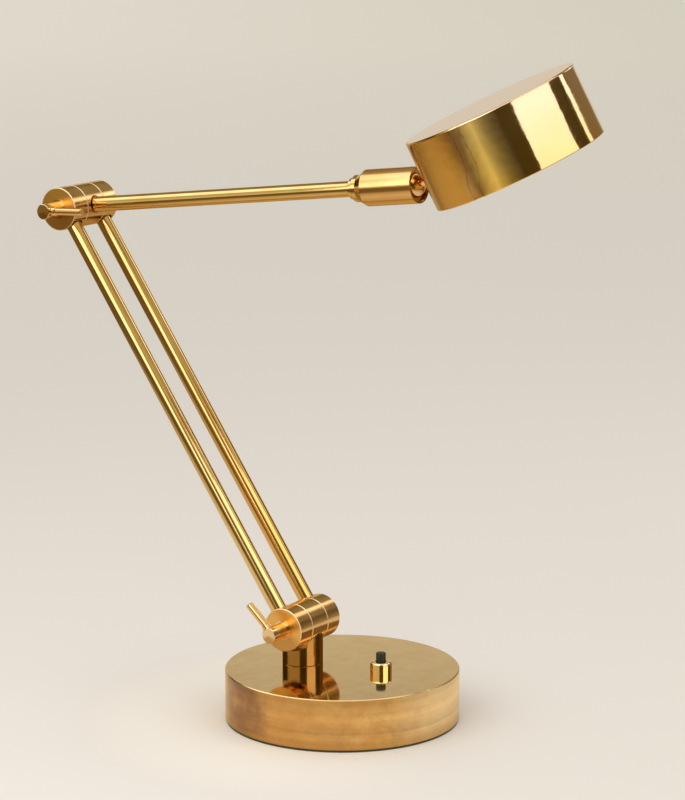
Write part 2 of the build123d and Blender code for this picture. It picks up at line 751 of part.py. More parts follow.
# Shade: a drum with a closed top and an open underside
shade_axis_plane = Plane(origin=shade_centre, x_dir=stud_dir, z_dir=stud_dir.cross(shade_up))
shade_bottom = -shade_stud_height
shade_top = shade_height - shade_stud_height
inner_radius = shade_radius - shade_wall
with BuildPart() as shade:
    turn_outline(
        shade_axis_plane,
        [
            (0, shade_top),
            (shade_radius, shade_top),
            (shade_radius, shade_bottom),
            (inner_radius, shade_bottom),
            (inner_radius, shade_top - shade_wall),
            (0, shade_top - shade_wall),
        ],
    )
    top_edge = shade.edges().filter_by(GeomType.CIRCLE).group_by(Axis(shade_centre, shade_up))[-1]
    fillet(top_edge, shade_top_fillet)
    lower_edges = shade.edges().filter_by(GeomType.CIRCLE).group_by(Axis(shade_centre, shade_up))[0]
    fillet(lower_edges.sort_by(SortBy.RADIUS)[-1], shade_rim_fillet)
    rod_between(axis_stud, thread_hole_radius, saddle_start, nut_start, Mode.SUBTRACT)
shade.part.label = "shade"
export_step(shade.part, "parts/shade.step")

# Saddle washers that bed the flat flange and nut on the round wall
with BuildPart() as outer_saddle:
    rod_between(axis_stud, saddle_diameter / 2, saddle_start, wall_inside)
    with BuildSketch(shade_plane):
        Circle(shade_radius + braze_gap)
    extrude(amount=shade_height, both=True, mode=Mode.SUBTRACT)
    rod_between(axis_stud, thread_hole_radius, saddle_start, wall_inside, Mode.SUBTRACT)
outer_saddle.part.label = "outer_saddle"
export_step(outer_saddle.part, "parts/outer_saddle.step")

with BuildPart() as inner_saddle:
    rod_between(axis_stud, inner_saddle_diameter / 2, stud_reach, nut_start)
    with BuildSketch(shade_plane):
        Circle(inner_radius - braze_gap)
    extrude(amount=shade_height, both=True, mode=Mode.INTERSECT)
    rod_between(axis_stud, thread_hole_radius, stud_reach, nut_start, Mode.SUBTRACT)
inner_saddle.part.label = "inner_saddle"
export_step(inner_saddle.part, "parts/inner_saddle.step")

# Nut inside the shade
with BuildPart() as shade_nut:
    with BuildSketch(cross_plane(ball_centre + stud_dir * nut_start, stud_dir)):
        RegularPolygon(shade_nut_across_flats / 2, hex_sides, major_radius=False)
        Circle(thread_hole_radius, mode=Mode.SUBTRACT)
    extrude(amount=shade_nut_thickness)
shade_nut.part.label = "shade_nut"
export_step(shade_nut.part, "parts/shade_nut.step")

# Lampholder screwed on the end of the stud
boss_end = holder_start + holder_boss_length
cone_end = boss_end + holder_cone_length
holder_end = cone_end + holder_body_length
holder_floor = holder_end - holder_bore_depth
with BuildPart() as lampholder:
    turn_outline(
        axis_stud,
        [
            (thread_hole_radius, holder_start),
            (holder_boss_diameter / 2, holder_start),
            (holder_boss_diameter / 2, boss_end),
            (holder_diameter / 2, cone_end),
            (holder_diameter / 2, holder_end),
            (holder_bore_diameter / 2, holder_end),
            (holder_bore_diameter / 2, holder_floor),
            (stud_bore_diameter / 2, holder_floor),
            (stud_bore_diameter / 2, boss_end),
            (thread_hole_radius, boss_end),
        ],
    )
lampholder.part.label = "lampholder"
export_step(lampholder.part, "parts/lampholder.step")

# Bulb: a metal cap in the holder and a rounded glass
cap_start = holder_floor + bulb_seat_gap
cap_end = cap_start + bulb_cap_length
with BuildPart() as bulb_cap:
    rod_between(axis_stud, bulb_cap_diameter / 2, cap_start, cap_end)
    chamfer(bulb_cap.edges(), edge_break)
bulb_cap.part.label = "bulb_cap"
export_step(bulb_cap.part, "parts/bulb_cap.step")

bulb_neck_radius = bulb_neck_diameter / 2
bulb_radius = bulb_diameter / 2
bulb_neck_end = cap_end + bulb_neck_length
bulb_tip = cap_end + bulb_length
bulb_widest = bulb_tip - bulb_radius
bulb_rise = bulb_widest - bulb_neck_end
bulb_swell = bulb_radius - bulb_neck_radius
bulb_flare_radius = (bulb_neck_radius**2 + bulb_rise**2 - bulb_radius**2) / (2 * bulb_swell)
bulb_flare_centre = (bulb_neck_radius + bulb_flare_radius, bulb_neck_end)
bulb_flare_deg = degrees(atan2(bulb_rise, bulb_neck_radius + bulb_flare_radius))
with BuildPart() as bulb_glass:
    with BuildSketch(axis_stud):
        with BuildLine():
            Line((0, cap_end), (bulb_neck_radius, cap_end))
            Line((bulb_neck_radius, cap_end), (bulb_neck_radius, bulb_neck_end))
            CenterArc(bulb_flare_centre, bulb_flare_radius, 180, -bulb_flare_deg)
            CenterArc((0, bulb_widest), bulb_radius, -bulb_flare_deg, 90 + bulb_flare_deg)
            Line((0, bulb_tip), (0, cap_end))
        make_face()
    revolve(axis=Axis(ball_centre, stud_dir))
bulb_glass.part.label = "bulb_glass"
export_step(bulb_glass.part, "parts/bulb_glass.step")

# Inner lead: from the switch to the foot of the post, up the post, through both arms and the stud
lead_radius = lead_diameter / 2
lead_floor = cover_top + lead_floor_gap + lead_radius
with BuildPart() as base_lead:
    with BuildLine() as lead_route:
        FilletPolyline(
            switch_foot + vertical * (switch_underside - lead_end_gap),
            switch_foot + vertical * lead_floor,
            post_foot + vertical * lead_floor,
            post_foot + vertical * (spigot_end - lead_end_gap),
            radius=lead_bend_radius,
        )
    with BuildSketch(Plane(origin=lead_route.line @ 0, z_dir=lead_route.line % 0)):
        Circle(lead_radius)
    sweep()
base_lead.part.label = "base_lead"
export_step(base_lead.part, "parts/base_lead.step")

with BuildPart() as post_lead:
    rod_between(axis_post, lead_radius, spigot_end, hinge_height - tube_setback - lead_end_gap)
post_lead.part.label = "post_lead"
export_step(post_lead.part, "parts/post_lead.step")

with BuildPart() as lower_arm_lead:
    lead_foot = lower_hinge - hinge_axis * tube_offset + lower_dir * tube_setback
    rod_between(axial_plane(lead_foot, lower_dir), lead_radius, 0, lower_tube_length)
lower_arm_lead.part.label = "lower_arm_lead"
export_step(lower_arm_lead.part, "parts/lower_arm_lead.step")

with BuildPart() as upper_arm_lead:
    rod_between(axis_upper, lead_radius, tube_setback - upper_arm_length, spring_end)
upper_arm_lead.part.label = "upper_arm_lead"
export_step(upper_arm_lead.part, "parts/upper_arm_lead.step")

with BuildPart() as stud_lead:
    rod_between(axis_stud, stud_lead_diameter / 2, -ball_radius + ball_cover, holder_floor - lead_end_gap)
stud_lead.part.label = "stud_lead"
export_step(stud_lead.part, "parts/stud_lead.step")
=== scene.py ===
import json
from math import cos, pi, radians, sin, tan

import bpy
from mathutils import Matrix, Vector


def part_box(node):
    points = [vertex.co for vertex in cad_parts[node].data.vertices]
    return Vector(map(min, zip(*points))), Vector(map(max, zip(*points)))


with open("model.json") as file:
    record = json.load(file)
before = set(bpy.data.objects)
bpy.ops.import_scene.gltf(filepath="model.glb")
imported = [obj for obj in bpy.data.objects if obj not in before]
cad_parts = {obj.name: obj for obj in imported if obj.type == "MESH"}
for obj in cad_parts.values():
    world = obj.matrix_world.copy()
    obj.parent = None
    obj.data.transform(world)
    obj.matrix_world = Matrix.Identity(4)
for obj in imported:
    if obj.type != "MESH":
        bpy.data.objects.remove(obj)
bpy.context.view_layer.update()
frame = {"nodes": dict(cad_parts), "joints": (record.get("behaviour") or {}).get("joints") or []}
nodes = frame["nodes"]
joints = {joint["name"]: joint for joint in frame["joints"]}

# Camera
camera_place = (1.03652, -1.59343, 0.59231)
camera_turn_deg = (78.56, 0.0, 33.04)
camera_lens_mm = 138.7
camera_clip_end = 60.0

# Turned axes of the lamp, from the joints of the frame
upright = Vector((0, 0, 1))
hinge_line = Vector((0, 1, 0))
base_centre = Vector((0, 0, 0))
post_foot = Vector(joints["post_swivel"]["pos_m"])
lower_hinge = Vector(joints["lower_arm_hinge"]["pos_m"])
upper_hinge = Vector(joints["upper_arm_hinge"]["pos_m"])
ball_centre = Vector(joints["head_roll"]["pos_m"])
lower_arm_dir = (upper_hinge - lower_hinge).normalized()
upper_arm_dir = Vector(joints["head_roll"]["axis"]).normalized()
stud_dir = Vector(joints["shade_twist"]["axis"]).normalized()
base_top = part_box("base_shell")[1].z
switch_low, switch_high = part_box("switch_bush")
switch_foot = Vector(((switch_low.x + switch_high.x) / 2, (switch_low.y + switch_high.y) / 2, base_top))

# Shade: its axis is twisted about the stud
shade_twist_deg = 11.9
shade_radius = 0.055
stud_reach = 0.0182
shade_wall = 0.0012
shade_top_height = 0.0278
shade_up = Matrix.Rotation(radians(shade_twist_deg), 3, stud_dir) @ stud_dir.cross(hinge_line)
shade_centre = ball_centre + stud_dir * (stud_reach + shade_radius)


def tube_line(node_name):
    """A point on the axis of an arm tube or a clamp rod."""
    low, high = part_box(node_name)
    return (low + high) / 2


def heading(azimuth_deg, elevation_deg=0.0):
    """A direction from its azimuth and its elevation."""
    a, e = radians(azimuth_deg), radians(elevation_deg)
    return Vector((cos(a) * cos(e), sin(a) * cos(e), sin(e)))


def axis_turn(direction):
    """The turn that brings Z to a direction."""
    return direction.to_track_quat("Z", "Y")


def in_own_axes(axis, direction):
    """A direction as seen from a piece whose own Z is its axis."""
    return axis_turn(axis).to_matrix().inverted() @ direction


# Shader building blocks
def put(tree, kind, inputs=None, **settings):
    """Adds a shader node to a tree, sets it and fills its inputs with values or links."""
    made = tree.nodes.new(kind)
    for key, value in settings.items():
        setattr(made, key, value)
    for key, value in (inputs or {}).items():
        if isinstance(value, bpy.types.NodeSocket):
            tree.links.new(value, made.inputs[key])
        else:
            made.inputs[key].default_value = value
    return made


def maths(tree, operation, first, second=0.0, third=0.0):
    """A calculation with numbers."""
    made = put(tree, "ShaderNodeMath", {0: first, 1: second, 2: third}, operation=operation)
    return made.outputs[0]


def vector_maths(tree, operation, *inputs):
    """A calculation with vectors. Gives a number for a length or a dot product."""
    made = put(tree, "ShaderNodeVectorMath", dict(enumerate(inputs)), operation=operation)
    return made.outputs["Value" if operation in ("LENGTH", "DOT_PRODUCT") else "Vector"]


def split(tree, vector):
    """The X, Y and Z of a vector."""
    return put(tree, "ShaderNodeSeparateXYZ", {0: vector}).outputs


def blend_colours(tree, share, first, second):
    """A colour between two, by the share of the second."""
    made = put(tree, "ShaderNodeMix", {0: share, 6: first, 7: second}, data_type="RGBA")
    return made.outputs[2]


def blend_numbers(tree, share, first, second):
    """A number between two, by the share of the second."""
    return put(tree, "ShaderNodeMix", {0: share, 2: first, 3: second}).outputs[0]


def stretch(tree, value, low, high, to_low=0.0, to_high=1.0):
    """Maps the span from low to high to another span, and stops at its ends."""
    made = put(
        tree,
        "ShaderNodeMapRange",
        {"Value": value, "From Min": low, "From Max": high, "To Min": to_low, "To Max": to_high},
        clamp=True,
    )
    return made.outputs[0]


def cloud(tree, vector, scale, detail=3.0, roughness=0.55, distortion=0.0):
    """Soft noise in space."""
    made = put(
        tree,
        "ShaderNodeTexNoise",
        {
            "Vector": vector,
            "Scale": scale,
            "Detail": detail,
            "Roughness": roughness,
            "Distortion": distortion,
        },
    )
    return made.outputs["Fac"]


def swing(tree, noise, width):
    """Noise as a swing about zero."""
    return maths(tree, "MULTIPLY_ADD", noise, width, -width / 2)


def new_group(name, inputs, outputs):
    """An empty shader group with its named sockets. Gives the group and its two ends."""
    group = bpy.data.node_groups.new(name, "ShaderNodeTree")
    for label, kind, value in inputs:
        socket = group.interface.new_socket(label, in_out="INPUT", socket_type=kind)
        if value is not None:
            socket.default_value = value
    for label, kind in outputs:
        group.interface.new_socket(label, in_out="OUTPUT", socket_type=kind)
    return group, group.nodes.new("NodeGroupInput"), group.nodes.new("NodeGroupOutput")


NUMBER, COLOUR, VECTOR = "NodeSocketFloat", "NodeSocketColor", "NodeSocketVector"

# Spans of noise over which an effect grows from nothing to full
even_noise = (0.3, 0.7)
stain_noise = (0.52, 0.78)
hairline_noise = (0.62, 0.8)
smudge_noise = (0.42, 0.75)
stain_scale_share = 0.55

# Wiping marks: the turn of each set, and how far it is drawn out
hairline_sets = ((24.0, 0.03), (-41.0, 0.05))


def make_lathe_lines():
    """Fine rings round the axis: bands along it on a side, circles on a face."""
    group, start, end = new_group(
        "lathe_lines",
        [("Vector", VECTOR, None), ("Density", NUMBER, 3000.0), ("Wander", NUMBER, 6.0)],
        [("Lines", NUMBER), ("Bands", NUMBER)],
    )
    place, density = start.outputs["Vector"], start.outputs["Density"]
    parts = split(group, place)
    flat = put(group, "ShaderNodeCombineXYZ", {"X": parts["X"], "Y": parts["Y"]}).outputs[0]
    drift = cloud(group, place, scale=18.0, detail=1.0)
    drift = maths(group, "MULTIPLY", drift, start.outputs["Wander"])
    drift = maths(group, "DIVIDE", drift, density)
    across, along = (
        maths(group, "MULTIPLY", maths(group, "ADD", reach, drift), density)
        for reach in (vector_maths(group, "LENGTH", flat), parts["Z"])
    )
    fine = put(group, "ShaderNodeCombineXYZ", {"X": across, "Y": along}).outputs[0]
    lines = cloud(group, fine, scale=1.0, detail=3.0, roughness=0.7)
    bands = cloud(group, fine, scale=0.09, detail=2.0, roughness=0.6)
    group.links.new(lines, end.inputs["Lines"])
    group.links.new(bands, end.inputs["Bands"])
    return group


def make_aged_tone():
    """Brass tone that drifts from bright to warm, with darker stains where it has aged most."""
    group, start, end = new_group(
        "aged_tone",
        [
            ("Vector", VECTOR, None),
            ("Scale", NUMBER, 30.0),
            ("Bright", COLOUR, None),
            ("Warm", COLOUR, None),
            ("Stain", COLOUR, None),
            ("Warmth", NUMBER, 0.5),
            ("Staining", NUMBER, 0.3),
        ],
        [("Tone", COLOUR)],
    )
    given = start.outputs
    broad = cloud(group, given["Vector"], given["Scale"], detail=8.0, roughness=0.68, distortion=0.4)
    warm_share = maths(group, "MULTIPLY", stretch(group, broad, *even_noise), given["Warmth"])
    tone = blend_colours(group, warm_share, given["Bright"], given["Warm"])
    stain_scale = maths(group, "MULTIPLY", given["Scale"], stain_scale_share)
    patchy = cloud(group, given["Vector"], stain_scale, detail=8.0, roughness=0.7, distortion=0.8)
    stain_share = maths(group, "MULTIPLY", stretch(group, patchy, *stain_noise), given["Staining"])
    tone = blend_colours(group, stain_share, tone, given["Stain"])
    group.links.new(tone, end.inputs["Tone"])
    return group


def make_hairlines():
    """Thin wiping marks in two directions across a polished face."""
    group, start, end = new_group(
        "hairlines",
        [("Vector", VECTOR, None), ("Scale", NUMBER, 900.0)],
        [("Marks", NUMBER)],
    )
    layers = []
    for turn_deg, length in hairline_sets:
        turn = (radians(turn_deg), 0.0, radians(turn_deg))
        turned = put(
            group, "ShaderNodeMapping", {"Vector": start.outputs["Vector"], "Rotation": turn}
        ).outputs[0]
        drawn = vector_maths(group, "MULTIPLY", turned, (1.0, length, 1.0))
        noise = cloud(group, drawn, start.outputs["Scale"], detail=2.0)
        layers.append(stretch(group, noise, *hairline_noise))
    group.links.new(maths(group, "MAXIMUM", *layers), end.inputs["Marks"])
    return group


def make_smudges():
    """Soft patches of handling that dull a polish."""
    group, start, end = new_group(
        "smudges",
        [("Vector", VECTOR, None), ("Scale", NUMBER, 60.0)],
        [("Smudge", NUMBER)],
    )
    given = start.outputs
    soft = cloud(group, given["Vector"], given["Scale"], detail=5.0, roughness=0.6, distortion=0.5)
    group.links.new(stretch(group, soft, *smudge_noise), end.inputs["Smudge"])
    return group


lathe_lines = make_lathe_lines()
aged_tone = make_aged_tone()
hairlines = make_hairlines()
smudges = make_smudges()


def place_group(tree, group, inputs):
    """Places a shader group in a material and fills its inputs."""
    return put(tree, "ShaderNodeGroup", inputs, node_tree=group).outputs


def new_finish(name, metallic=0.0, **constants):
    """A material with its Principled shader. Gives the material, its tree and the shader."""
    finish = bpy.data.materials.new(name)
    finish.use_nodes = True
    tree = finish.node_tree
    shader = next(n for n in tree.nodes if n.type == "BSDF_PRINCIPLED")
    shader.inputs["Metallic"].default_value = metallic
    for key, value in constants.items():
        shader.inputs[key.replace("_", " ")].default_value = value
    return finish, tree, shader


def object_place(tree):
    """Object coordinates."""
    return put(tree, "ShaderNodeTexCoord").outputs["Object"]


def axis_place(tree, origin, direction):
    """Object coordinates turned so that Z runs along a piece's own axis, from a point on it."""
    made = put(
        tree,
        "ShaderNodeMapping",
        {"Vector": object_place(tree), "Location": origin, "Rotation": axis_turn(direction).to_euler()},
        vector_type="TEXTURE",
    )
    return made.outputs[0]


def add_bump(tree, shader, height, distance):
    """Raises a surface by a height, full at the given distance."""
    bump = put(tree, "ShaderNodeBump", {"Height": height, "Distance": distance, "Strength": 1.0})
    tree.links.new(bump.outputs[0], shader.inputs["Normal"])


def radial_place(tree, place):
    """Distance from a piece's axis, and the direction from it, across the axis."""
    flat = vector_maths(tree, "MULTIPLY", place, (1.0, 1.0, 0.0))
    return vector_maths(tree, "LENGTH", flat), vector_maths(tree, "NORMALIZE", flat)


def facing(tree, outward, direction):
    """How far a place on a round side faces a direction, from -1 to 1."""
    return vector_maths(tree, "DOT_PRODUCT", outward, direction)


# Brass tones, linear: freshly polished, handled, and aged
bright_brass = (0.87, 0.605, 0.335, 1)
warm_brass = (0.81, 0.52, 0.245, 1)
arm_gold = (0.85, 0.555, 0.26, 1)
arm_red = (0.76, 0.42, 0.145, 1)
worn_edge = (0.96, 0.78, 0.48, 1)
# Paler tone of the barrels' seams and rims: part wear, part painted highlight
seam_wear_and_highlight = (0.97, 0.83, 0.56, 1)
disc_face_gold = (0.86, 0.50, 0.11, 1)
tube_gold = (0.80, 0.565, 0.25, 1)
tube_warm = (0.68, 0.43, 0.14, 1)
rear_tube_red = (0.70, 0.395, 0.115, 1)
brown_brass = (0.50, 0.26, 0.07, 1)
# Painted shade for the undersides of the upper arm and the sleeve
underside_shade_orange = (0.55, 0.25, 0.03, 1)
shade_aged = (0.76, 0.43, 0.115, 1)
# Shade tones painted toward its bottom and top, standing in for how the highlight changes along the drum
shade_low = (0.86, 0.54, 0.19, 1)
shade_high = (0.88, 0.65, 0.50, 1)
tide_brown = (0.34, 0.17, 0.04, 1)
plate_gold = (0.98, 0.75, 0.42, 1)
plate_warm = (0.90, 0.63, 0.31, 1)
side_gold = (0.83, 0.52, 0.175, 1)
side_orange = (0.62, 0.30, 0.085, 1)
side_umber = (0.24, 0.115, 0.07, 1)

# Brass as it looks at a grazing angle
grazing_tint = (1.0, 0.95, 0.80, 1)
shade_grazing_tint = (1.0, 0.97, 0.87, 1)
arm_grazing_tint = (1.0, 0.88, 0.64, 1)
post_grazing_tint = (0.55, 0.38, 0.20, 1)

# Three tones of a piece: bright, warm and stained
polished_tones = (bright_brass, warm_brass, brown_brass)
arm_tones = (arm_gold, arm_red, brown_brass)
tube_tones = (tube_gold, tube_warm, tide_brown)
plate_tones = (plate_gold, plate_warm, brown_brass)
side_tones = (side_gold, side_orange, side_umber)
post_tones = (worn_edge, plate_gold, brown_brass)
switch_tones = (worn_edge, plate_gold, warm_brass)
stud_tones = (arm_gold, arm_red, tide_brown)


def toned(tree, place, tones, scale, warmth, staining):
    """The aged tone of a piece from its three brass tones."""
    values = {"Vector": place, "Scale": scale, "Warmth": warmth, "Staining": staining}
    values.update(zip(("Bright", "Warm", "Stain"), tones))
    return place_group(tree, aged_tone, values)["Tone"]


def dulled(tree, rough, *causes):
    """Roughness with what dulls it, each cause with its share."""
    for cause, share in causes:
        rough = maths(tree, "MULTIPLY_ADD", cause, share, rough)
    return rough


# Hinge barrels: reach of the discs' seams, rims and faces from the middle, and their worn edges, paler partly
# from wear and partly as a painted highlight
disc_seam_reach = 0.0088
disc_rim_reach = 0.0224
disc_face_reach = 0.0225
disc_face_end = 0.0227
disc_face_share = 0.8
worn_rim_radius = 0.0134
worn_line = (0.0005, 0.00022)

# Turned brass: where a tone shift begins and is full, by facing or by place along the axis, and its share.
# The shifts by facing are painted shade: on the underside, and on every side but one given heading
side_shade_facing = (0.88, 0.4)
lower_end_span = (0.04, -0.09)
underside_facing = (0.1, 0.7)
tone_shift_share = 0.85

# Turned brass: shares of the gloss that the rings vary and keep, and what dulls it
ring_gloss_share = 0.5
least_gloss_share = 0.75
smudge_dulling = 0.04
mark_dulling = 0.03
disc_face_dulling = 0.12
worn_edge_dulling = 0.35


def turned_brass(
    name,
    origin,
    direction,
    gloss,
    groove,
    tones=polished_tones,
    density=2600.0,
    grazing=arm_grazing_tint,
    barrel=False,
    underside=None,
    lower_end=None,
    bright_side_deg=None,
):
    """Brass turned about an axis: fine grooves, aged tone, wiping marks and smudges.

    A barrel has worn edges, paler partly from wear and partly as a painted highlight. A piece may have
    painted shade on its underside, a redder tone toward its lower end, or painted shade on every side but
    one.
    """
    finish, tree, shader = new_finish(name, 1.0, Specular_Tint=grazing)
    place = axis_place(tree, origin, direction)
    radius, outward = radial_place(tree, place)
    height = split(tree, place)["Z"]
    rings = place_group(tree, lathe_lines, {"Vector": place, "Density": density})
    tone = toned(tree, place, tones, scale=40.0, warmth=0.5, staining=0.25)
    face = worn = 0.0
    if barrel:
        along = maths(tree, "ABSOLUTE", height)
        face = maths(tree, "GREATER_THAN", along, disc_face_reach)
        face = maths(tree, "MULTIPLY", face, maths(tree, "LESS_THAN", along, disc_face_end))
        tone = blend_colours(tree, maths(tree, "MULTIPLY", face, disc_face_share), tone, disc_face_gold)
        # Seams and rims: a paler tone, part wear and part painted highlight where the chamfers catch the
        # light
        rim = maths(tree, "GREATER_THAN", radius, worn_rim_radius)
        for edge in (disc_seam_reach, disc_rim_reach):
            from_edge = maths(tree, "ABSOLUTE", maths(tree, "SUBTRACT", along, edge))
            worn = maths(tree, "MULTIPLY_ADD", stretch(tree, from_edge, *worn_line), rim, worn)
        tone = blend_colours(tree, worn, tone, seam_wear_and_highlight)
    # Painted shade: browns every side of the piece but the one that faces the given heading, the side toward
    # the camera
    if bright_side_deg is not None:
        toward = facing(tree, outward, heading(bright_side_deg))
        share = stretch(tree, toward, *side_shade_facing, to_high=tone_shift_share)
        tone = blend_colours(tree, share, tone, tide_brown)
    if lower_end:
        share = stretch(tree, height, *lower_end_span, to_high=tone_shift_share)
        tone = blend_colours(tree, share, tone, lower_end)
    # Painted shade: a darker tone where the piece faces down
    if underside:
        below = facing(tree, outward, in_own_axes(direction, -upright))
        share = stretch(tree, below, *underside_facing, to_high=tone_shift_share)
        tone = blend_colours(tree, share, tone, underside)
    tree.links.new(tone, shader.inputs["Base Color"])
    rough = maths(tree, "MULTIPLY_ADD", rings["Lines"], gloss * ring_gloss_share, gloss * least_gloss_share)
    rough = dulled(
        tree,
        rough,
        (place_group(tree, smudges, {"Vector": place})["Smudge"], smudge_dulling),
        (place_group(tree, hairlines, {"Vector": place})["Marks"], mark_dulling),
        (face, disc_face_dulling),
        (worn, worn_edge_dulling),
    )
    tree.links.new(rough, shader.inputs["Roughness"])
    add_bump(tree, shader, maths(tree, "ADD", rings["Lines"], rings["Bands"]), groove)
    return finish


# Base: depths below its top over which the side begins and the polish ends
side_depths = (0.0002, 0.0005)
satin_depths = (0.00002, 0.0001)

# Base side: patches by facing, with their share of the tone, and the dark line at its foot
dull_patch_deg = -115.0
orange_facing, orange_share = (0.35, 0.9), 0.6
dull_facing, dull_share = (0.93, 1.0), 0.75
rubbed_patch_deg = 8.0
rubbed_patch_facing, rubbed_patch_share = (0.75, 1.0), 0.7
patch_wobble = 0.16
foot_line_height = 0.0042
foot_line_wobble = 0.03
foot_line_share = 0.55
side_squeeze = (1.0, 1.0, 1.15)
brushed_noise, brushed_gain = (0.35, 0.65), (0.84, 1.10)

# Base: polish of the plate and satin of the side, what dulls them, and the grooves
plate_gloss = 0.06
plate_smudge_dulling = 0.05
plate_mark_dulling = 0.04
side_gloss = 0.17
side_ring_dulling = 0.14
side_groove = 0.000008
plate_groove_share = 0.05


def base_finish():
    """The base: a polished plate with wiped streaks, and a satin side with rings and uneven age."""
    finish, tree, shader = new_finish("base_brass", 1.0, Specular_Tint=grazing_tint)
    place = object_place(tree)
    height = split(tree, place)["Z"]
    side = stretch(tree, height, *(base_top - depth for depth in side_depths))
    rings = place_group(tree, lathe_lines, {"Vector": place, "Density": 2200.0})
    top_tone = toned(tree, place, plate_tones, scale=60.0, warmth=1.0, staining=0.2)
    squeezed = vector_maths(tree, "MULTIPLY", place, side_squeeze)
    side_tone = toned(tree, squeezed, side_tones, scale=66.0, warmth=1.0, staining=0.4)
    outward = radial_place(tree, place)[1]
    wobble = swing(tree, cloud(tree, squeezed, scale=60.0, detail=5.0, roughness=0.65), patch_wobble)
    toward = facing(tree, outward, heading(dull_patch_deg))
    orange = stretch(tree, toward, *orange_facing, to_high=orange_share)
    side_tone = blend_colours(tree, orange, side_tone, side_orange)
    dull = stretch(tree, maths(tree, "ADD", toward, wobble), *dull_facing, to_high=dull_share)
    side_tone = blend_colours(tree, dull, side_tone, side_umber)
    rubbed = maths(tree, "ADD", facing(tree, outward, heading(rubbed_patch_deg)), wobble)
    rubbed = stretch(tree, rubbed, *rubbed_patch_facing, to_high=rubbed_patch_share)
    side_tone = blend_colours(tree, rubbed, side_tone, plate_gold)
    foot = maths(tree, "ADD", height, maths(tree, "MULTIPLY", wobble, foot_line_wobble))
    foot = stretch(tree, foot, foot_line_height * 2, foot_line_height / 2, to_high=foot_line_share)
    side_tone = blend_colours(tree, foot, side_tone, brown_brass)
    brushed = stretch(tree, rings["Bands"], *brushed_noise, *brushed_gain)
    side_tone = put(tree, "ShaderNodeVectorMath", {0: side_tone, 3: brushed}, operation="SCALE").outputs[0]
    tree.links.new(blend_colours(tree, side, top_tone, side_tone), shader.inputs["Base Color"])
    top_rough = dulled(
        tree,
        plate_gloss,
        (place_group(tree, smudges, {"Vector": place, "Scale": 40.0})["Smudge"], plate_smudge_dulling),
        (place_group(tree, hairlines, {"Vector": place})["Marks"], plate_mark_dulling),
    )
    side_rough = dulled(tree, side_gloss, (rings["Lines"], side_ring_dulling))
    off_top = stretch(tree, height, *(base_top - depth for depth in satin_depths))
    tree.links.new(blend_numbers(tree, off_top, top_rough, side_rough), shader.inputs["Roughness"])
    grooves = maths(tree, "MULTIPLY", rings["Lines"], stretch(tree, side, 0, 1, to_low=plate_groove_share))
    add_bump(tree, shader, grooves, side_groove)
    return finish


# Shade: tone below and above its middle, by place along its axis, with its share; a painted highlight, warmer
# toward the bottom and paler toward the top, as the highlight changes along the drum
low_tone_span, low_tone_share = (0.0, -0.014), 0.6
high_tone_span, high_tone_share = (0.004, 0.02), 0.5

# Shade: the aged patch toward the stud, and the tide marks along its edge, by facing
aged_edge = (-0.02, 0.16)
tide_wobble = 0.5
tide_start = 0.06
tide_spacing = 0.07
tide_line, tide_share = (0.014, 0.004), 0.4
tide_reach = (0.16, 0.1)

# Shade: its polish outside and what dulls it, and the lacquer inside
shade_gloss = 0.065
shade_smudge_dulling = 0.06
shade_mark_dulling = 0.03
shade_aged_dulling = 0.05
lacquer_cream = (0.80, 0.79, 0.75, 1)
lacquer_white = (0.86, 0.85, 0.82, 1)
lacquer_gloss = 0.42

# Shade: ripple of its wall, the depths below the top where it ends, and the rings' share of it
ripple_height = 0.0002
ripple_depths = (0.0008, 0.004)
ripple_ring_share = 0.012


